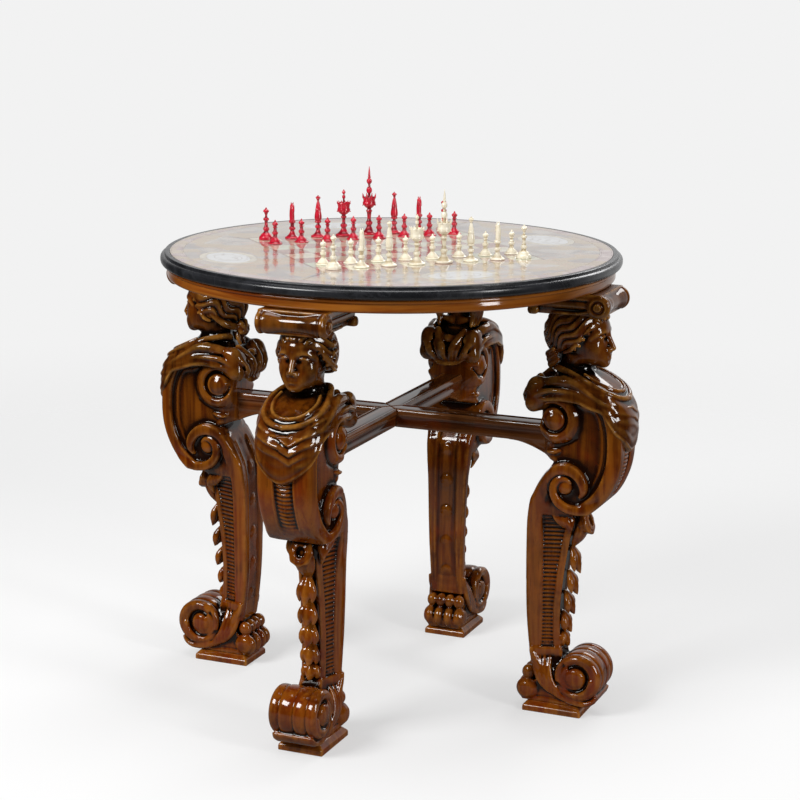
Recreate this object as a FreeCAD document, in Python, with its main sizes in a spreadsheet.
"""Round chess table: stone-inlaid slate top, four carved bust legs, crossing stretcher, turned chessmen.

Millimetres, +Z up. The origin is on the floor under the middle of the table. The legs stand on the
X and Y axes, and the chess board is turned 45 degrees against them, with white on the front right side.
"""
import FreeCAD, Part
import math
import os
import re

import Sketcher

Vector = FreeCAD.Vector
Z_AXIS = Vector(0, 0, 1)
Y_AXIS = Vector(0, 1, 0)

# ---------------------------------------------------------------------------------------------------
# Driving sizes: alias, value in mm (angles in degrees), meaning
# ---------------------------------------------------------------------------------------------------
SIZES = (
    ("table_height", 760, "floor to the playing surface"),
    ("slab_radius", 383, "outer radius of the slate slab"),
    ("slab_thickness", 21, "thickness of the slate slab"),
    ("slab_step_width", 7, "set-back of the upper lip of the slab edge"),
    ("slab_step_height", 4.5, "height of the upper lip of the slab edge"),
    ("slab_lower_round", 8, "lower rounding of the slab edge"),
    ("slab_upper_round", 6, "upper rounding of the slab edge"),
    ("slab_lip_round", 2.5, "rounding of the upper lip"),
    ("slab_border", 16, "plain slate outside the inlay"),
    ("inlay_depth", 4, "thickness of the inlaid stone"),
    ("inlay_joint", 0.2, "glue line between two inlaid stones"),
    ("band_width", 22, "width of the outer border band of the inlay"),
    ("band_line", 2.5, "width of the fine line on each side of the border band"),
    ("square_side", 47, "side of one board square"),
    ("board_line", 3, "width of the frame line around the board"),
    ("medallion_inner_margin", 49, "from the board to a medallion"),
    ("medallion_outer_margin", 16, "from a medallion to the border band"),
    ("medallion_half_length", 64, "half length of a medallion along the rim"),
    ("medallion_rim", 11, "width of the rim around a medallion"),
    ("field_joint_width", 1, "joint between the four parts of the field"),
    ("board_turn", 45, "angle between the board's ranks and the X axis"),
    ("slab_overhang", 11, "slab edge beyond the apron"),
    ("apron_height", 21, "height of the apron ring"),
    ("apron_wall", 52, "radial thickness of the apron ring"),
    ("apron_bead", 3, "projection of the bead at the top of the apron"),
    ("apron_bead_height", 6, "height of that bead"),
    ("apron_lower_round", 5, "rounding of the apron's lower edge"),
    ("fit_gap", 0.3, "running gap between a loose disc or batten and the apron"),
    ("sub_top_thickness", 9, "disc under the slab"),
    ("batten_width", 92, "width of a cross batten"),
    ("leg_inset", 62, "leg axis inside the apron's outer face"),
    ("plinth_length", 102, "plinth, measured towards the table's axis"),
    ("plinth_width", 78, "plinth, measured along the rim"),
    ("plinth_height", 17, "plinth height"),
    ("plinth_base_height", 9, "straight lower part of the plinth"),
    ("plinth_bevel", 8, "bevel of the plinth's upper part"),
    ("foot_roll_out", 46, "outer foot roll, outward of the leg axis"),
    ("foot_roll_height", 68, "height of the outer foot roll's axis"),
    ("foot_roll_radius", 41, "radius of the outer foot roll"),
    ("foot_roll_width", 84, "length of the outer foot roll"),
    ("heel_roll_in", 46, "inner foot roll, inward of the leg axis"),
    ("heel_roll_height", 41, "height of the inner foot roll's axis"),
    ("heel_roll_radius", 21, "radius of the inner foot roll"),
    ("heel_roll_width", 76, "length of the inner foot roll"),
    ("foot_web_width", 70, "width of the foot between its rolls"),
    ("foot_web_height", 110, "top of the foot between its rolls"),
    ("foot_web_front", 20, "outer end of that top, outward of the leg axis"),
    ("foot_web_back", 41, "inner end of that top, inward of the leg axis"),
    ("shaft_bottom", 84, "height at which the tapering shaft starts"),
    ("shaft_face_width", 36, "width of the shaft's outer face"),
    ("shaft_back_bottom", 66, "width of the shaft's inner face at the foot"),
    ("shaft_back_top", 84, "width of the shaft's inner face under the scroll"),
    ("husk_width", 30, "width of the string of husks on the shaft"),
    ("scroll_width", 100, "width of the C-scroll's web and chest band"),
    ("volute_width", 108, "length of the two volutes over their eyes"),
    ("lower_volute_out", 16, "lower volute's axis, outward of the leg axis"),
    ("lower_volute_drop", 283, "lower volute's axis below the capital"),
    ("lower_volute_radius", 44, "radius of the lower volute"),
    ("upper_volute_in", 7, "upper volute's axis, inward of the leg axis"),
    ("upper_volute_drop", 180, "upper volute's axis below the capital"),
    ("upper_volute_radius", 36, "radius of the upper volute"),
    ("leg_back", 29, "back face of the scroll, inward of the leg axis"),
    ("rail_seat_margin", 6, "flat seat on the scroll's back above and below a rail"),
    ("rail_width", 40, "width of a stretcher rail"),
    ("rail_height", 33, "height of a stretcher rail"),
    ("rail_drop", 188, "top of the stretcher below the capital"),
    ("rail_fillet_width", 5, "raised fillet along each upper edge of a rail"),
    ("rail_fillet_height", 2, "height of that fillet"),
    ("rail_side_step", 3, "set-back of a rail's lower part"),
    ("rail_cap_height", 11, "height of a rail's upper moulding"),
    ("bracket_reach", 58, "length of the swept bracket under a rail's end"),
    ("bracket_drop", 17, "depth of that bracket at the leg"),
    ("capital_height", 38, "underside of the capital to the apron"),
    ("capital_roll_radius", 19, "radius of the capital's outer roll"),
    ("capital_roll_drop", 20, "outer roll's axis below the apron"),
    ("capital_roll_out", 6, "outer roll's axis beyond the apron's face"),
    ("capital_roll_width", 126, "length of the outer roll"),
    ("capital_inner_radius", 9, "radius of the capital's inner roll"),
    ("capital_inner_drop", 32, "inner roll's axis below the apron"),
    ("capital_inner_in", 42, "inner roll's axis, inward of the leg axis"),
    ("capital_inner_width", 116, "length of the inner roll"),
    ("abacus_height", 8, "plate on top of the capital"),
    ("echinus_width", 84, "width of the capital's block over the head"),
    ("neck_radius", 26, "radius of the bust's neck"),
    ("neck_out", 26, "neck and head, outward of the leg axis"),
    ("neck_drop", 98, "foot of the neck inside the torso, below the capital"),
    ("head_drop", 40, "middle of the head below the capital"),
    ("head_half_depth", 50, "head, half size front to back"),
    ("head_half_width", 39, "head, half size side to side"),
    ("head_half_height", 47, "head, half size up and down"),
    ("dowel_radius", 5, "beech dowel radius"),
    ("dowel_play", 0.05, "radial glue play around a dowel"),
    ("dowel_length", 40, "length of a rail or neck dowel"),
    ("foot_dowel_length", 24, "length of the dowel between plinth and foot"),
    ("foot_dowel_rise", 4, "middle of that dowel above the plinth"),
    ("cap_dowel_length", 20, "length of the dowel between capital and batten"),
    ("cap_dowel_inset", 23, "that dowel's axis inside the apron's bore"),
    ("dowel_end_play", 1, "glue space beyond a dowel's end"),
    ("rail_dowel_spacing", 18, "distance of a rail's two dowels"),
    ("rail_dowel_drop", 2, "a rail's dowels below its middle"),
    ("screw_radius", 2.5, "shank radius of the batten screws"),
    ("screw_head_radius", 5, "head radius of the batten screws"),
    ("screw_head_height", 3, "height of a screw's countersunk head"),
    ("screw_length", 18, "length of the batten screws"),
    ("screw_inset", 57, "outermost screw of a batten arm, inward of the capital's dowel"),
    ("king_height", 118, "height of a king"),
    ("queen_height", 80, "height of a queen"),
    ("bishop_height", 72, "height of a bishop"),
    ("knight_height", 63, "height of a knight"),
    ("rook_height", 55, "height of a rook"),
    ("pawn_height", 40, "height of a pawn"),
    ("king_base", 14.5, "base radius of a king"),
    ("queen_base", 14, "base radius of a queen"),
    ("bishop_base", 12.5, "base radius of a bishop"),
    ("knight_base", 12.5, "base radius of a knight"),
    ("rook_base", 12.5, "base radius of a rook"),
    ("pawn_base", 12, "base radius of a pawn"),
    ("knight_head_width", 7, "thickness of a knight's horse head"),
)

doc = FreeCAD.newDocument("ChessTable")
sheet = doc.addObject("Spreadsheet::Sheet", "Sizes")
for row, (alias, value, meaning) in enumerate(SIZES, start=1):
    sheet.set(f"A{row}", alias)
    sheet.set(f"B{row}", str(value))
    sheet.set(f"C{row}", meaning)
    sheet.setAlias(f"B{row}", alias)
doc.recompute()

ALIASES = frozenset(alias for alias, _, _ in SIZES)


def number(expression):
    """Value of an expression in the sheet's aliases."""
    return float(sheet.evalExpression(str(expression)))


def bound(expression):
    """The same expression as another object of the document writes it."""
    def prefixed(word):
        """A word of the expression, with the sheet's name before an alias."""
        return f"Sizes.{word[0]}" if word[0] in ALIASES else word[0]

    return re.sub(r"[a-z_]+", prefixed, str(expression))


# ---------------------------------------------------------------------------------------------------
# Heights and radii that follow from the driving sizes
# ---------------------------------------------------------------------------------------------------
SLAB_BOTTOM = "(table_height - slab_thickness)"
APRON_BOTTOM = f"({SLAB_BOTTOM} - apron_height)"
APRON_RADIUS = "(slab_radius - slab_overhang)"
APRON_BORE = f"({APRON_RADIUS} - apron_wall)"
INLAY_RADIUS = "(slab_radius - slab_border)"
BAND_INNER = f"({INLAY_RADIUS} - band_width)"
INLAY_BOTTOM = "(table_height - inlay_depth)"
BOARD_HALF = "(4 * square_side + board_line)"
MEDALLION_INNER = f"({BOARD_HALF} + medallion_inner_margin)"
MEDALLION_OUTER = f"({BAND_INNER} - medallion_outer_margin)"
MEDALLION_PLACE = f"(({MEDALLION_INNER} + {MEDALLION_OUTER}) / 2)"
MEDALLION_HALF_WIDTH = f"(({MEDALLION_OUTER} - {MEDALLION_INNER}) / 2)"
SUB_TOP_BOTTOM = f"({SLAB_BOTTOM} - sub_top_thickness)"
LEG_RADIUS = f"({APRON_RADIUS} - leg_inset)"
CAPITAL_BOTTOM = f"({APRON_BOTTOM} - capital_height)"
RAIL_TOP = f"({CAPITAL_BOTTOM} - rail_drop)"
RAIL_BOTTOM = f"({RAIL_TOP} - rail_height)"
RAIL_END = f"({LEG_RADIUS} - leg_back)"
LEG_NAMES = ("right", "back", "left", "front")


# ---------------------------------------------------------------------------------------------------
# Small tools of this model
# ---------------------------------------------------------------------------------------------------
def add(kind, name, **sizes):
    """A document object whose named properties are bound to expressions."""
    item = doc.addObject(kind, name)
    for name_of_size, expression in sizes.items():
        item.setExpression(name_of_size, bound(expression))
    return item


def place(item, x=0, y=0, z=0, axis=Z_AXIS, angle=0):
    """Put an object at x, y, z (expressions) and turn it by a plain angle about an axis."""
    item.Placement = FreeCAD.Placement(Vector(), FreeCAD.Rotation(axis, angle))
    for letter, expression in zip("xyz", (x, y, z)):
        if str(expression) != "0":
            item.setExpression(f".Placement.Base.{letter}", bound(expression))
    return item


def roll(name, radius, length, out, up):
    """A cylinder whose axis runs along Y, centred on the XZ plane."""
    cylinder = add("Part::Cylinder", name, Radius=radius, Height=length)
    return place(cylinder, x=out, y=f"{length} / 2", z=up, axis=Vector(1, 0, 0), angle=90)


def block(name, x_range, width, z_range):
    """A box between two X values and two Z values, centred on the XZ plane."""
    box = add("Part::Box", name, Length=f"{x_range[1]} - {x_range[0]}", Width=width,
              Height=f"{z_range[1]} - {z_range[0]}")
    return place(box, x=x_range[0], y=f"-({width}) / 2", z=z_range[0])


def fuse(name, parts):
    """One solid from several that meet or overlap."""
    item = doc.addObject("Part::MultiFuse", name)
    item.Shapes = parts
    item.Refine = True
    return item


def cut(name, base, tool):
    """The base without the tool."""
    item = doc.addObject("Part::Cut", name)
    item.Base = base
    item.Tool = tool
    return item


def group(name, parts):
    """Several solids as one sub-part."""
    item = doc.addObject("Part::Compound", name)
    item.Links = parts
    return item


def outline_face(name, points, plane_y=0.0):
    """A flat face in the XZ plane from (x, z) points; a third value bulges the stretch that ends there.

    The bulge is the arc's height over its chord, positive to the left of the direction of travel.
    """
    edges = []
    for start, end in zip(points, points[1:] + points[:1]):
        first = Vector(start[0], plane_y, start[1])
        last = Vector(end[0], plane_y, end[1])
        if len(end) < 3 or end[2] == 0:
            edges.append(Part.LineSegment(first, last).toShape())
            continue
        across = Vector(first.z - last.z, 0, last.x - first.x)
        middle = (first + last) * 0.5 + across * end[2]
        edges.append(Part.Arc(first, middle, last).toShape())
    item = doc.addObject("Part::Feature", name)
    item.Shape = Part.Face(Part.Wire(edges))
    return item


def smooth_outline_face(name, curve_points, corner_points):
    """A flat face in the XZ plane: a smooth curve through some points, closed by straight lines."""
    curve = Part.BSplineCurve()
    curve.interpolate([Vector(x, 0, z) for x, z in curve_points])
    corners = [Vector(x, 0, z) for x, z in (curve_points[-1:] + corner_points + curve_points[:1])]
    edges = [curve.toShape()]
    for start, end in zip(corners, corners[1:]):
        edges.append(Part.LineSegment(start, end).toShape())
    item = doc.addObject("Part::Feature", name)
    item.Shape = Part.Face(Part.Wire(edges))
    return item


def extruded(name, face, width):
    """A face of the XZ plane drawn out to both sides along Y."""
    item = doc.addObject("Part::Extrusion", name)
    item.Base = face
    item.DirMode = "Custom"
    item.Dir = Y_AXIS
    item.Solid = True
    item.Symmetric = True
    item.setExpression("LengthFwd", bound(width))
    return item


def turned(name, face):
    """A face of the XZ plane turned about the Z axis."""
    item = doc.addObject("Part::Revolution", name)
    item.Source = face
    item.Axis = Z_AXIS
    item.Base = Vector()
    item.Angle = 360
    item.Solid = True
    return item


def sketch_on(body, name, role, corners):
    """A closed polygon on one origin plane of a body, each corner bound to two expressions."""
    plane = next(feature for feature in body.Origin.OriginFeatures if feature.Role == role)
    sketch = body.newObject("Sketcher::SketchObject", name)
    sketch.AttachmentSupport = [(plane, "")]
    sketch.MapMode = "FlatFace"
    spots = [Vector(number(x), number(y), 0) for x, y in corners]
    for start, end in zip(spots, spots[1:] + spots[:1]):
        sketch.addGeometry(Part.LineSegment(start, end))
    for index in range(len(spots)):
        sketch.addConstraint(Sketcher.Constraint("Coincident", index, 2, (index + 1) % len(spots), 1))
    for index, pair in enumerate(corners):
        for direction, axis_line, expression in zip(("DistanceX", "DistanceY"), (-2, -1), pair):
            distance = number(expression)
            if distance == 0:
                sketch.addConstraint(Sketcher.Constraint("PointOnObject", index, 1, axis_line))
                continue
            row = sketch.addConstraint(Sketcher.Constraint(direction, -1, 1, index, 1, distance))
            sketch.setExpression(f"Constraints[{row}]", bound(expression))
    return sketch


def lathe_body(label, corners):
    """A PartDesign body turned about Z from a polygon of (radius, height) expressions."""
    body = doc.addObject("PartDesign::Body", label)
    sketch = sketch_on(body, f"{label}_section", "XZ_Plane", corners)
    revolution = body.newObject("PartDesign::Revolution", f"{label}_turned")
    revolution.Profile = sketch
    revolution.ReferenceAxis = (sketch, ["V_Axis"])
    revolution.Angle = 360
    doc.recompute()
    return body


def round_rims(body, rims):
    """Fillet circular edges of a body: each rim is (radius, height, fillet size), all expressions."""
    for radius, height, size in rims:
        base = body.Tip
        names = []
        for index, edge in enumerate(base.Shape.Edges, start=1):
            curve = edge.Curve
            if not isinstance(curve, Part.Circle):
                continue
            if abs(curve.Radius - number(radius)) < 1e-4 and abs(curve.Center.z - number(height)) < 1e-4:
                names.append(f"Edge{index}")
        fillet = body.newObject("PartDesign::Fillet", f"{body.Name}_round")
        fillet.Base = (base, names)
        fillet.setExpression("Radius", bound(size))
        doc.recompute()
    return body


nodes = []


def node(item, label):
    """Register an object as the sub-part that the file of this name holds."""
    item.Label = label
    nodes.append(item)
    return item


def around_table(master, stem):
    """One copy of a leg piece for each leg, turned about the table's axis."""
    for turn, leg in enumerate(LEG_NAMES):
        copy = group(f"{stem}_{leg}", [master])
        copy.Placement = FreeCAD.Placement(Vector(), FreeCAD.Rotation(Z_AXIS, 90 * turn))
        node(copy, f"{stem}_{leg}")


# ---------------------------------------------------------------------------------------------------
# Top: slate slab, inlay, apron, sub-top and battens
# ---------------------------------------------------------------------------------------------------
def make_slab():
    """Slate disc with a stepped, rounded edge and a shallow recess for the inlay."""
    lip_radius = "(slab_radius - slab_step_width)"
    shoulder = "(table_height - slab_step_height)"
    body = lathe_body("top_slab", (
        ("0", SLAB_BOTTOM),
        ("slab_radius", SLAB_BOTTOM),
        ("slab_radius", shoulder),
        (lip_radius, shoulder),
        (lip_radius, "table_height"),
        (INLAY_RADIUS, "table_height"),
        (INLAY_RADIUS, INLAY_BOTTOM),
        ("0", INLAY_BOTTOM),
    ))
    round_rims(body, (
        ("slab_radius", SLAB_BOTTOM, "slab_lower_round"),
        ("slab_radius", shoulder, "slab_upper_round"),
        (lip_radius, "table_height", "slab_lip_round"),
    ))
    return node(body, "top_slab")


def inlay_ring(name, outer, inner):
    """A flat stone ring that fills the inlay's depth between two radii."""
    disc = place(add("Part::Cylinder", f"{name}_disc", Radius=outer, Height="inlay_depth"), z=INLAY_BOTTOM)
    hole = place(add("Part::Cylinder", f"{name}_hole", Radius=inner, Height="inlay_depth"), z=INLAY_BOTTOM)
    return cut(name, disc, hole)


def inlay_square(name, half):
    """A flat stone square as deep as the inlay, in line with the board before it is turned."""
    side = f"2 * {half}"
    tile = add("Part::Box", name, Length=side, Width=side, Height="inlay_depth")
    return place(tile, x=f"-{half}", y=f"-{half}", z=INLAY_BOTTOM)


def turn_with_board(item):
    """Turn an object that is centred on the table's axis with the board."""
    item.Placement = FreeCAD.Placement(Vector(), FreeCAD.Rotation(Z_AXIS, number("board_turn")))
    item.setExpression(".Placement.Rotation.Angle", bound("board_turn"))
    return item


def make_border_band():
    """Border band of the inlay between two fine lines."""
    band_outer = f"({INLAY_RADIUS} - inlay_joint - band_line)"
    band_inner = f"({BAND_INNER} + band_line)"
    rings = (
        inlay_ring("outer_line", f"{INLAY_RADIUS} - inlay_joint", f"{band_outer} + inlay_joint"),
        inlay_ring("border_stone", band_outer, f"{band_inner} + inlay_joint"),
        inlay_ring("inner_line", band_inner, f"{BAND_INNER} + inlay_joint"),
    )
    return node(group("inlay_border_band", list(rings)), "inlay_border_band")


def ellipse_prism(name, grow):
    """An upright oval prism for the medallion on the board's +X side, grown by a margin."""
    oval = add("Part::Ellipse", f"{name}_line", MajorRadius=f"medallion_half_length + {grow}",
               MinorRadius=f"{MEDALLION_HALF_WIDTH} + {grow}")
    place(oval, x=MEDALLION_PLACE, z=INLAY_BOTTOM, angle=90)
    prism = doc.addObject("Part::Extrusion", name)
    prism.Base = oval
    prism.DirMode = "Custom"
    prism.Dir = Z_AXIS
    prism.Solid = True
    prism.setExpression("LengthFwd", bound("inlay_depth"))
    return prism


def make_field_and_medallions():
    """Four field stones around the board, each with an oval opening for its medallion."""
    disc = place(add("Part::Cylinder", "field_disc", Radius=BAND_INNER, Height="inlay_depth"), z=INLAY_BOTTOM)
    board_hole = inlay_square("field_board_hole", f"({BOARD_HALF} + inlay_joint)")
    opening = ellipse_prism("medallion_opening", "inlay_joint")
    whole = ellipse_prism("medallion_outer", "0")
    inner_hole = ellipse_prism("medallion_rim_hole", "-medallion_rim")
    centre = ellipse_prism("medallion_centre", "(-medallion_rim - inlay_joint)")
    rim = cut("medallion_rim_stone", whole, inner_hole)
    slot_length = "2 * slab_radius"
    slot = add("Part::Box", "field_slot", Length=slot_length, Width="field_joint_width", Height="inlay_depth")
    place(slot, x="-slab_radius", y="-field_joint_width / 2", z=INLAY_BOTTOM)
    openings = []
    medallions = []
    for quarter in range(4):
        turned_opening = group(f"opening_{quarter}", [opening])
        turned_opening.Placement = FreeCAD.Placement(Vector(), FreeCAD.Rotation(Z_AXIS, 90 * quarter))
        openings.append(turned_opening)
        medallion = group(f"medallion_{quarter}", [rim, centre])
        medallion.Placement = FreeCAD.Placement(Vector(), FreeCAD.Rotation(Z_AXIS, 90 * quarter))
        medallions.append(medallion)
    slots = []
    for quarter in range(2):
        turned_slot = group(f"field_slot_{quarter}", [slot])
        turned_slot.Placement = FreeCAD.Placement(Vector(), FreeCAD.Rotation(Z_AXIS, 45 + 90 * quarter))
        slots.append(turned_slot)
    field = cut("field_stones", disc, fuse("field_cuts", [board_hole] + openings + slots))
    node(turn_with_board(group("inlay_field", [field])), "inlay_field")
    node(turn_with_board(group("inlay_medallions", medallions)), "inlay_medallions")


def make_board():
    """Frame line and the 64 squares, light and dark as two groups."""
    frame_outer = inlay_square("board_frame_outer", BOARD_HALF)
    frame_inner = inlay_square("board_frame_inner", f"({BOARD_HALF} - board_line)")
    frame_line = cut("board_frame_line", frame_outer, frame_inner)
    node(turn_with_board(group("board_frame", [frame_line])), "board_frame")
    tile_side = "(square_side - inlay_joint)"
    tile = add("Part::Box", "square_tile", Length=tile_side, Width=tile_side, Height="inlay_depth")
    place(tile, x=f"-{tile_side} / 2", y=f"-{tile_side} / 2", z=INLAY_BOTTOM)
    squares = {"light_squares": [], "dark_squares": []}
    for rank in range(8):
        for file in range(8):
            square = group(f"square_{file}_{rank}", [tile])
            place(square, x=f"({file} - 3.5) * square_side", y=f"({rank} - 3.5) * square_side")
            squares["dark_squares" if (file + rank) % 2 == 0 else "light_squares"].append(square)
    for name, tiles in squares.items():
        node(turn_with_board(group(name, tiles)), name)


def make_apron():
    """Walnut ring under the slab with a bead at the top and a rounded lower edge."""
    bead_bottom = f"({SLAB_BOTTOM} - apron_bead_height)"
    bead_radius = f"({APRON_RADIUS} + apron_bead)"
    body = lathe_body("apron_ring", (
        (APRON_BORE, APRON_BOTTOM),
        (APRON_RADIUS, APRON_BOTTOM),
        (APRON_RADIUS, bead_bottom),
        (bead_radius, bead_bottom),
        (bead_radius, SLAB_BOTTOM),
        (APRON_BORE, SLAB_BOTTOM),
    ))
    round_rims(body, (
        (APRON_RADIUS, APRON_BOTTOM, "apron_lower_round"),
        (bead_radius, bead_bottom, "apron_bead - 0.5"),
    ))
    return node(body, "apron_ring")


def make_sub_top():
    """Disc that closes the apron ring under the slab, bored for the batten screws."""
    disc = add("Part::Cylinder", "sub_top_disc", Radius=f"{APRON_BORE} - fit_gap", Height="sub_top_thickness")
    place(disc, z=SUB_TOP_BOTTOM)
    return node(cut("sub_top", disc, screw_holes("sub_top_screw_holes")), "sub_top")


SCREWS_PER_ARM = 3


def screw_spots():
    """Places of the batten screws as (x, y) expressions, evenly along each arm."""
    for turn in range(4):
        across = round(math.cos(math.radians(90 * turn)))
        along = round(math.sin(math.radians(90 * turn)))
        for step in range(1, SCREWS_PER_ARM + 1):
            reach = f"({APRON_BORE} - cap_dowel_inset - screw_inset) * {step} / {SCREWS_PER_ARM}"
            yield f"{across} * {reach}", f"{along} * {reach}"


def make_screws(name, play):
    """Countersunk screws pointing up from the battens' underside, wider by a play for their holes."""
    screws = []
    for index, (x, y) in enumerate(screw_spots()):
        head = add("Part::Cone", f"{name}_head_{index}", Radius1=f"screw_head_radius + {play}",
                   Radius2=f"screw_radius + {play}", Height="screw_head_height")
        shank = add("Part::Cylinder", f"{name}_shank_{index}", Radius=f"screw_radius + {play}",
                    Height="screw_length - screw_head_height")
        place(head, x=x, y=y, z=APRON_BOTTOM)
        place(shank, x=x, y=y, z=f"{APRON_BOTTOM} + screw_head_height")
        screws.append(fuse(f"{name}_{index}", [head, shank]))
    return screws


def screw_holes(name):
    """Tool that bores the screws' holes."""
    return group(name, make_screws(name, "dowel_play"))


def make_battens():
    """Cross battens under the sub-top, the second one in two halves against the first."""
    half_width = "batten_width / 2"
    reach = f"sqrt(pow({APRON_BORE} - fit_gap; 2) - pow({half_width}; 2))"
    height = f"{SUB_TOP_BOTTOM} - {APRON_BOTTOM}"
    long_batten = add("Part::Box", "batten_long", Length=f"2 * {reach}", Width="batten_width", Height=height)
    place(long_batten, x=f"-{reach}", y=f"-{half_width}", z=APRON_BOTTOM)
    halves = []
    for side, start in (("near", f"-{reach}"), ("far", half_width)):
        half = add("Part::Box", f"batten_{side}", Length="batten_width", Width=f"{reach} - {half_width}",
                   Height=height)
        halves.append(place(half, x=f"-{half_width}", y=start, z=APRON_BOTTOM))
    bores = group("batten_bores", [screw_holes("batten_screw_holes"), dowel_bores("batten_dowel_bores")])
    battens = []
    for batten in (long_batten, *halves):
        battens.append(cut(f"{batten.Name}_bored", batten, bores))
    node(group("cross_battens", battens), "cross_battens")
    node(group("top_screws", make_screws("screw", "0")), "top_screws")


# ---------------------------------------------------------------------------------------------------
# Joinery: dowels in the rails, plinths, necks and capitals of each leg
# ---------------------------------------------------------------------------------------------------
def dowel_spots():
    """Dowels of the leg on +X as (name, middle x, y, z, axis, turn) with expressions for the middle."""
    spots = [
        ("foot", LEG_RADIUS, "0", "plinth_height + foot_dowel_rise", Z_AXIS, 0),
        ("neck", f"{LEG_RADIUS} + neck_out", "0", CAPITAL_BOTTOM, Z_AXIS, 0),
        ("cap", f"{APRON_BORE} - cap_dowel_inset", "0", APRON_BOTTOM, Z_AXIS, 0),
    ]
    for side, sign in (("near", -1), ("far", 1)):
        spots.append((f"rail_{side}", RAIL_END, f"{sign} * rail_dowel_spacing / 2",
                      f"{RAIL_BOTTOM} + rail_height / 2 - rail_dowel_drop", Y_AXIS, 90))
    return spots


# dowels that stand in thin pieces are shorter than the others
SHORT_DOWELS = {"foot": "foot_dowel_length", "cap": "cap_dowel_length"}


def dowel(name, kind, x, y, z, axis, turn, play, end_play):
    """One dowel, or the bore for it when the plays are not zero."""
    length = f"({SHORT_DOWELS.get(kind, 'dowel_length')} + 2 * {end_play})"
    rod = add("Part::Cylinder", name, Radius=f"dowel_radius + {play}", Height=length)
    if axis == Z_AXIS:
        return place(rod, x=x, y=y, z=f"{z} - {length} / 2")
    return place(rod, x=f"{x} - {length} / 2", y=y, z=z, axis=axis, angle=turn)


def leg_dowels(name, play, end_play):
    """All dowels of the leg on +X as one compound."""
    rods = []
    for kind, x, y, z, axis, turn in dowel_spots():
        rods.append(dowel(f"{name}_{kind}", kind, x, y, z, axis, turn, play, end_play))
    return group(name, rods)


def four_turns(name, master):
    """The same object at each of the four legs."""
    copies = []
    for turn in range(4):
        copy = group(f"{name}_{turn}", [master])
        copy.Placement = FreeCAD.Placement(Vector(), FreeCAD.Rotation(Z_AXIS, 90 * turn))
        copies.append(copy)
    return copies


def dowel_bores(name):
    """Tool that bores every dowel hole of the table."""
    return group(name, four_turns(f"{name}_turn", leg_dowels(f"{name}_leg", "dowel_play", "dowel_end_play")))


def make_dowels():
    """The dowels themselves."""
    master = leg_dowels("leg_dowels", "0", "0")
    return node(group("joint_dowels", four_turns("dowel_turn", master)), "joint_dowels")


# ---------------------------------------------------------------------------------------------------
# Legs: plinth, scroll leg, bust and capital of the leg on +X
# ---------------------------------------------------------------------------------------------------
def at_leg(out):
    """Plain distance from the table's axis of a point given outward of the leg axis."""
    return number(LEG_RADIUS) + out


def under_capital(drop):
    """Plain height of a point given below the capital's underside."""
    return number(CAPITAL_BOTTOM) - drop


def carved(line):
    """Plain (x, z) points of a carved line given outward of the leg axis and below the capital."""
    return [(at_leg(out), under_capital(drop)) for out, drop in line]


def make_plinths():
    """Four low plinths with a bevelled upper part."""
    half_length, half_width = "plinth_length / 2", "plinth_width / 2"
    base = add("Part::Box", "plinth_base", Length="plinth_length", Width="plinth_width",
               Height="plinth_base_height")
    place(base, x=f"{LEG_RADIUS} - {half_length}", y=f"-{half_width}")
    bevel = add("Part::Wedge", "plinth_bevel",
                Xmin=f"-{half_length}", Xmax=half_length, Zmin=f"-{half_width}", Zmax=half_width,
                X2min=f"plinth_bevel - {half_length}", X2max=f"{half_length} - plinth_bevel",
                Z2min=f"plinth_bevel - {half_width}", Z2max=f"{half_width} - plinth_bevel",
                Ymin="0", Ymax="plinth_height - plinth_base_height")
    place(bevel, x=LEG_RADIUS, z="plinth_base_height", axis=Vector(1, 0, 0), angle=90)
    plinth = cut("plinth_bored", fuse("plinth_solid", [base, bevel]),
                 leg_dowels("plinth_bores", "dowel_play", "dowel_end_play"))
    return node(group("plinths", four_turns("plinth_turn", plinth)), "plinths")


def make_foot():
    """Foot: outer roll, heel roll and the web between them, with a flat sole on the plinth."""
    outer = roll("foot_roll", "foot_roll_radius", "foot_roll_width", f"{LEG_RADIUS} + foot_roll_out",
                 "foot_roll_height")
    heel = roll("heel_roll", "heel_roll_radius", "heel_roll_width", f"{LEG_RADIUS} - heel_roll_in",
                "heel_roll_height")
    web_reach = (f"({LEG_RADIUS} - heel_roll_in)", f"({LEG_RADIUS} + foot_roll_out)")
    web = block("foot_web", web_reach, "foot_web_width", ("plinth_height", "foot_roll_height"))
    rise = outline_face("foot_rise_outline", [
        (at_leg(-number("heel_roll_in")), number("heel_roll_height")),
        (at_leg(number("foot_roll_out")), number("foot_roll_height")),
        (at_leg(number("foot_web_front")), number("foot_web_height")),
        (at_leg(-number("foot_web_back")), number("foot_web_height")),
    ])
    return [outer, heel, web, extruded("foot_rise", rise, "foot_web_width")]


# inner and outer face of the shaft, outward of the leg axis, at shares of its height
SHAFT_LINE = ((0.0, -40, 16), (0.31, -50.5, 8), (0.69, -50.5, 22), (1.0, -26, 38))


def make_shaft():
    """Tapering shaft between the foot and the lower volute, wider at its inner face."""
    bottom = number("shaft_bottom")
    rise = number(f"{CAPITAL_BOTTOM} - lower_volute_drop") - bottom
    half_face = number("shaft_face_width") / 2
    sections = []
    for share, inner, outer in SHAFT_LINE:
        back = number("shaft_back_bottom") * (1 - share) + number("shaft_back_top") * share
        level = bottom + share * rise
        corners = [Vector(at_leg(inner), -back / 2, level), Vector(at_leg(outer), -half_face, level),
                   Vector(at_leg(outer), half_face, level), Vector(at_leg(inner), back / 2, level)]
        sections.append(Part.makePolygon(corners + corners[:1]))
    shaft = doc.addObject("Part::Feature", "shaft")
    shaft.Shape = Part.makeLoft(sections, True, False)
    return shaft


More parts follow.
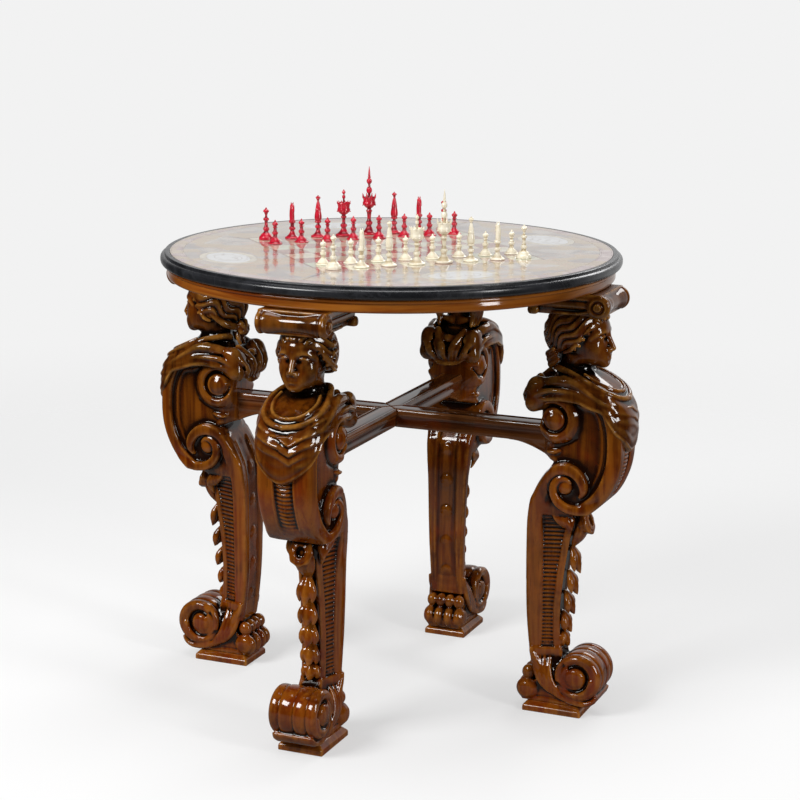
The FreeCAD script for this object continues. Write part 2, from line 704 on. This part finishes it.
# tips of the husks down the shaft, (outward of the leg axis, height over the shaft's bottom as a share)
HUSK_TIPS = ((34, 0.496), (30, 0.378), (26, 0.265), (21.5, 0.162), (18.6, 0.087))
HUSK_DEPTH = 10


def make_husks():
    """String of husks on the outer face, each tip over the next one, under a flared cup."""
    bottom = number("shaft_bottom")
    rise = number(f"{CAPITAL_BOTTOM} - lower_volute_drop") - bottom
    cup_foot = bottom + 0.6 * rise
    cup_top = under_capital(328)
    points = [(at_leg(-20), cup_top), (at_leg(56), cup_top), (at_leg(59), cup_top - 18),
              (at_leg(55), cup_top - 47), (at_leg(23), cup_foot)]
    for out, share in HUSK_TIPS:
        points.append((at_leg(out), bottom + share * rise))
        points.append((at_leg(out - HUSK_DEPTH), bottom + (share - 0.03) * rise))
    points.append((at_leg(-10), bottom + 0.05 * rise))
    return extruded("husks", outline_face("husk_outline", points), "husk_width")


# bowed chest of the C-scroll from its lower end upward, (outward of the leg axis, below the capital)
CHEST_CURVE = ((58, 328), (78, 308), (91, 291), (103, 264), (109, 238), (110, 208), (106, 176), (96, 146),
               (79, 126), (50, 117))
# straight closing lines of the web behind the chest
WEB_CORNERS = ((0, 117), (-29, 126), (-29, 238), (-6, 245), (-20, 262), (16, 327))


def make_scroll():
    """C-scroll: web with the bowed chest, and the two volutes."""
    chest_line = smooth_outline_face("chest_outline", carved(CHEST_CURVE), carved(WEB_CORNERS))
    chest = extruded("chest_web", chest_line, "scroll_width")
    lower = roll("lower_volute", "lower_volute_radius", "volute_width", f"{LEG_RADIUS} + lower_volute_out",
                 f"{CAPITAL_BOTTOM} - lower_volute_drop")
    upper = roll("upper_volute", "upper_volute_radius", "volute_width", f"{LEG_RADIUS} - upper_volute_in",
                 f"{CAPITAL_BOTTOM} - upper_volute_drop")
    back = block("scroll_back_trim", (f"({RAIL_END} - upper_volute_radius)", RAIL_END), "volute_width + 2",
                 (f"({RAIL_BOTTOM} - rail_seat_margin)", f"({RAIL_TOP} + rail_seat_margin)"))
    return [chest, lower, upper], back


# draped torso seen from the side, back to front over the shoulder, as (outward of the leg axis,
# below the capital)
TORSO_CURVE = ((-50, 178), (-53, 160), (-46, 137), (-20, 118), (8, 103), (28, 96), (50, 98), (68, 104),
               (89, 115), (101, 123), (112, 139), (120, 165), (121, 190), (118, 206))
TORSO_HEM = ((95, 195), (35, 158), (-10, 153))
# draped torso seen from the front, (to one side, below the capital)
TORSO_FRONT = ((0, 88), (22, 88), (40, 95), (55, 108), (62, 140), (62, 180), (52, 215), (30, 240), (0, 246))


def make_bust(scroll):
    """Draped torso, neck and plain head, fitted over the C-scroll."""
    side_face = smooth_outline_face("torso_side_outline", carved(TORSO_CURVE), carved(TORSO_HEM))
    side = extruded("torso_side", side_face, "capital_roll_width")
    half = [(across, under_capital(drop)) for across, drop in TORSO_FRONT]
    front_points = half + [(-across, height) for across, height in half[-2:0:-1]]
    front_face = outline_face("torso_front_outline", front_points)
    front = doc.addObject("Part::Extrusion", "torso_front")
    front.Base = front_face
    front.DirMode = "Custom"
    front.Dir = Y_AXIS
    front.Solid = True
    front.Reversed = True
    front.setExpression("LengthFwd", bound("2 * slab_radius"))
    front.Placement = FreeCAD.Placement(Vector(), FreeCAD.Rotation(Z_AXIS, 90))
    torso = doc.addObject("Part::Common", "torso")
    torso.Base = side
    torso.Tool = front
    neck = add("Part::Cylinder", "neck", Radius="neck_radius", Height="neck_drop - head_drop")
    place(neck, x=f"{LEG_RADIUS} + neck_out", z=f"{CAPITAL_BOTTOM} - neck_drop")
    skull = add("Part::Ellipsoid", "skull", Radius1="head_half_height", Radius2="head_half_depth",
                Radius3="head_half_width")
    place(skull, x=f"{LEG_RADIUS} + neck_out", z=f"{CAPITAL_BOTTOM} - head_drop")
    head_reach = (f"({LEG_RADIUS} - head_half_depth)", "slab_radius + head_half_depth")
    above = block("above_capital_line", head_reach, "capital_roll_width", (CAPITAL_BOTTOM, APRON_BOTTOM))
    solid = fuse("bust_solid", [torso, neck, skull])
    return cut("bust_bored", cut("bust_topped", cut("bust_fitted", solid, scroll), above),
               leg_dowels("bust_bores", "dowel_play", "dowel_end_play"))


def make_capital():
    """Capital: outer roll, inner roll, block over the head and thin abacus."""
    outer = roll("capital_roll", "capital_roll_radius", "capital_roll_width",
                 f"{APRON_RADIUS} + capital_roll_out", f"{APRON_BOTTOM} - capital_roll_drop")
    inner = roll("capital_inner_roll", "capital_inner_radius", "capital_inner_width",
                 f"{LEG_RADIUS} - capital_inner_in", f"{APRON_BOTTOM} - capital_inner_drop")
    inner_edge = f"({LEG_RADIUS} - capital_inner_in)"
    abacus = block("abacus", (inner_edge, APRON_RADIUS), "capital_inner_width",
                   (f"({APRON_BOTTOM} - abacus_height)", APRON_BOTTOM))
    echinus = block("echinus", (inner_edge, f"({APRON_RADIUS} + 4)"), "echinus_width",
                    (CAPITAL_BOTTOM, f"({APRON_BOTTOM} - abacus_height / 2)"))
    solid = fuse("capital_solid", [outer, inner, abacus, echinus])
    return cut("capital_bored", solid, leg_dowels("capital_bores", "dowel_play", "dowel_end_play"))


def make_legs():
    """Masters of the leg on +X, then one copy of each at every leg."""
    parts, back = make_scroll()
    scroll = fuse("scroll_carving", parts + [make_shaft(), make_husks()] + make_foot())
    trimmed = cut("scroll_trimmed", scroll, back)
    leg = cut("scroll_leg", trimmed, leg_dowels("leg_bores", "dowel_play", "dowel_end_play"))
    around_table(leg, "scroll_leg")
    around_table(make_bust(trimmed), "bust")
    around_table(make_capital(), "capital")


# ---------------------------------------------------------------------------------------------------
# Stretcher: two crossing rails
# ---------------------------------------------------------------------------------------------------
# height of the arc under a bracket over its chord
BRACKET_BULGE = 0.12


def make_bracket(name, turn):
    """Swept bracket under one end of a rail, carved in one with it."""
    end = number(RAIL_END)
    overlap = number(RAIL_BOTTOM) + number("rail_height") / 4
    start = end - number("bracket_reach")
    foot = number(f"{RAIL_BOTTOM} - bracket_drop")
    line = outline_face(f"{name}_outline", [
        (start, overlap),
        (start, number(RAIL_BOTTOM)),
        (end, foot, -BRACKET_BULGE),
        (end, overlap),
    ])
    bracket = extruded(name, line, "rail_width - 2 * rail_side_step")
    bracket.Placement = FreeCAD.Placement(Vector(), FreeCAD.Rotation(Z_AXIS, turn))
    return bracket


def make_rail(label, turn, lap_on_top):
    """One rail from leg to leg, halved at the middle for the other one."""
    half = "(rail_width / 2)"
    lower_half = f"({half} - rail_side_step)"
    channel = f"({half} - rail_fillet_width)"
    cap_bottom = f"({RAIL_TOP} - rail_cap_height)"
    floor = f"({RAIL_TOP} - rail_fillet_height)"
    right = ((lower_half, RAIL_BOTTOM), (lower_half, cap_bottom), (half, cap_bottom), (half, RAIL_TOP),
             (channel, RAIL_TOP), (channel, floor))
    corners = right + tuple((f"-{across}", height) for across, height in reversed(right))
    body = doc.addObject("PartDesign::Body", f"{label}_body")
    sketch = sketch_on(body, f"{label}_section", "YZ_Plane", corners)
    pad = body.newObject("PartDesign::Pad", f"{label}_pad")
    pad.Profile = sketch
    pad.SideType = "Symmetric"
    pad.setExpression("Length", bound(f"2 * {RAIL_END}"))
    doc.recompute()
    middle = f"({RAIL_BOTTOM} + rail_height / 2)"
    lap_range = (middle, f"({RAIL_TOP} + 1)") if lap_on_top else (f"({RAIL_BOTTOM} - 1)", middle)
    lap = block(f"{label}_lap", ("(-rail_width / 2)", "(rail_width / 2)"), "rail_width + 2", lap_range)
    bores = leg_dowels(f"{label}_bores", "dowel_play", "dowel_end_play")
    opposite = group(f"{label}_far_bores", [bores])
    opposite.Placement = FreeCAD.Placement(Vector(), FreeCAD.Rotation(Z_AXIS, 180))
    brackets = [make_bracket(f"{label}_bracket_{side}", 180 * side) for side in range(2)]
    rail = cut(f"{label}_cut", fuse(f"{label}_bracketed", [body] + brackets),
               fuse(f"{label}_tools", [lap, bores, opposite]))
    item = group(label, [rail])
    item.Placement = FreeCAD.Placement(Vector(), FreeCAD.Rotation(Z_AXIS, turn))
    return node(item, label)


# ---------------------------------------------------------------------------------------------------
# Chessmen: turned outlines as shares of the base radius and of the height
# ---------------------------------------------------------------------------------------------------
FOOT_LINE = ((0, 0), (1, 0), (1, 0.03, -0.3))
TURNINGS = {
    "pawn": FOOT_LINE + (
        (0.30, 0.27, 0.18), (0.27, 0.38), (0.40, 0.43, -0.4), (0.40, 0.50, -0.3), (0.24, 0.56),
        (0.20, 0.66), (0.32, 0.70, -0.3), (0.22, 0.72), (0.42, 0.83, -0.2), (0.16, 0.92, -0.25),
        (0.05, 1.0), (0, 1.0),
    ),
    "rook": FOOT_LINE + (
        (0.95, 0.10, -0.1), (0.42, 0.22, -0.2), (0.24, 0.28), (0.40, 0.33, -0.4),
        (0.30, 0.40, -0.3), (0.20, 0.50), (0.24, 0.60), (0.36, 0.63, -0.4), (0.36, 0.68, -0.4),
        (0.16, 0.74), (0.20, 0.82), (0.42, 0.88, -0.2), (0.20, 0.95, -0.25), (0.05, 1.0), (0, 1.0),
    ),
    "bishop": FOOT_LINE + (
        (0.60, 0.08, 0.1), (0.24, 0.18, 0.15), (0.24, 0.20), (0.38, 0.24, -0.4),
        (0.22, 0.30, -0.3), (0.20, 0.33), (0.44, 0.36, -0.3), (0.46, 0.42, -0.1),
        (0.50, 0.46, -0.2), (0.40, 0.62, -0.03), (0.16, 0.85, -0.06), (0.12, 0.88),
        (0.34, 0.94, -0.25), (0.12, 0.98, -0.25), (0.04, 1.0), (0, 1.0),
    ),
    "queen": FOOT_LINE + (
        (0.50, 0.10, 0.12), (0.26, 0.17, 0.1), (0.38, 0.20, -0.4), (0.34, 0.25, -0.3),
        (0.20, 0.32), (0.22, 0.38), (0.34, 0.41, -0.3), (0.24, 0.44), (0.70, 0.52, -0.15),
        (0.80, 0.58, -0.1), (0.74, 0.64, 0.05), (0.82, 0.74, 0.04), (0.72, 0.74),
        (0.20, 0.64, -0.1), (0.10, 0.80), (0.20, 0.84, -0.35), (0.10, 0.88, -0.35),
        (0.20, 0.94, -0.25), (0.10, 0.98, -0.25), (0.04, 1.0), (0, 1.0),
    ),
    "king": FOOT_LINE + (
        (0.50, 0.07, 0.12), (0.26, 0.13, 0.1), (0.38, 0.15, -0.4), (0.34, 0.19, -0.3),
        (0.22, 0.25), (0.28, 0.33), (0.34, 0.35, -0.3), (0.24, 0.37), (0.70, 0.44, -0.15),
        (0.78, 0.47, -0.1), (0.70, 0.50, 0.05), (0.80, 0.56, 0.04), (0.70, 0.56),
        (0.22, 0.50, -0.1), (0.16, 0.60), (0.34, 0.66, -0.25), (0.16, 0.70, -0.25), (0.13, 0.74),
        (0.32, 0.79, -0.25), (0.14, 0.83, -0.25), (0.13, 0.86), (0.10, 0.92), (0.02, 1.0),
        (0, 1.0),
    ),
    "knight": FOOT_LINE + (
        (0.55, 0.10, 0.12), (0.26, 0.20, 0.12), (0.26, 0.22), (0.40, 0.27, -0.4),
        (0.24, 0.33, -0.3), (0.30, 0.42), (0.44, 0.46, -0.4), (0.36, 0.50, -0.3), (0, 0.50),
    ),
}
# horse head seen from the side, (forward in base radii, share of the height)
HORSE_HEAD = (
    (-0.34, 0.48), (0.34, 0.48), (0.30, 0.60), (0.20, 0.70), (0.52, 0.72), (0.58, 0.79),
    (0.24, 0.95), (0.06, 1.0), (-0.02, 0.95), (-0.30, 0.82)
)
BACK_RANK = ("rook", "knight", "bishop", "queen", "king", "bishop", "knight", "rook")


def make_chessman_master(kind):
    """One chessman standing on the origin, facing +Y of the board."""
    base = number(f"{kind}_base")
    height = number(f"{kind}_height")
    line = [(share * base, level * height, *bulge) for share, level, *bulge in TURNINGS[kind]]
    body = turned(f"{kind}_turned", outline_face(f"{kind}_outline", line))
    if kind != "knight":
        return body
    head_line = [(share * base, level * height) for share, level in HORSE_HEAD]
    head = extruded("horse_head", outline_face("horse_outline", head_line), "knight_head_width")
    head.Placement = FreeCAD.Placement(Vector(), FreeCAD.Rotation(Z_AXIS, 90))
    return fuse("knight_carved", [body, head])


def make_chessmen():
    """Both sets on their squares: cream on the near side, crimson on the far side."""
    masters = {kind: make_chessman_master(kind) for kind in TURNINGS}
    cosine = "cos(board_turn * 1 deg)"
    sine = "sin(board_turn * 1 deg)"
    for colour, back_rank, pawn_rank, facing in (("cream", 0, 1, 0), ("crimson", 7, 6, 180)):
        for file in range(8):
            for rank, kind in ((back_rank, BACK_RANK[file]), (pawn_rank, "pawn")):
                along = f"(({file} - 3.5) * square_side)"
                across = f"(({rank} - 3.5) * square_side)"
                many = kind not in ("king", "queen")
                label = f"{colour}_{kind}_{file + 1}" if many else f"{colour}_{kind}"
                man = group(label, [masters[kind]])
                place(man, x=f"{along} * {cosine} - {across} * {sine}",
                      y=f"{along} * {sine} + {across} * {cosine}",
                      z="table_height", angle=number("board_turn") + facing)
                node(man, label)


# ---------------------------------------------------------------------------------------------------
# The table
# ---------------------------------------------------------------------------------------------------
make_slab()
make_border_band()
make_field_and_medallions()
make_board()
make_apron()
make_sub_top()
make_battens()
make_dowels()
make_plinths()
make_legs()
make_rail("stretcher_rail_x", 0, lap_on_top=True)
make_rail("stretcher_rail_y", 90, lap_on_top=False)
make_chessmen()
doc.recompute()

faults = []
for item in doc.Objects:
    if {"Invalid", "Error"} & set(item.State):
        faults.append(f"{item.Label}: {item.State}")
for item in nodes:
    if item.Shape.isNull() or not item.Shape.isValid():
        faults.append(f"{item.Label}: shape is null or invalid")
if faults:
    raise RuntimeError("; ".join(faults))

os.makedirs("parts", exist_ok=True)
for item in nodes:
    item.Shape.exportStep(f"parts/{item.Label}.step")
    print(f"{item.Label}: {len(item.Shape.Solids)} solids, {item.Shape.Volume / 1000:.1f} cm3")
print(len(nodes), "sub-parts")
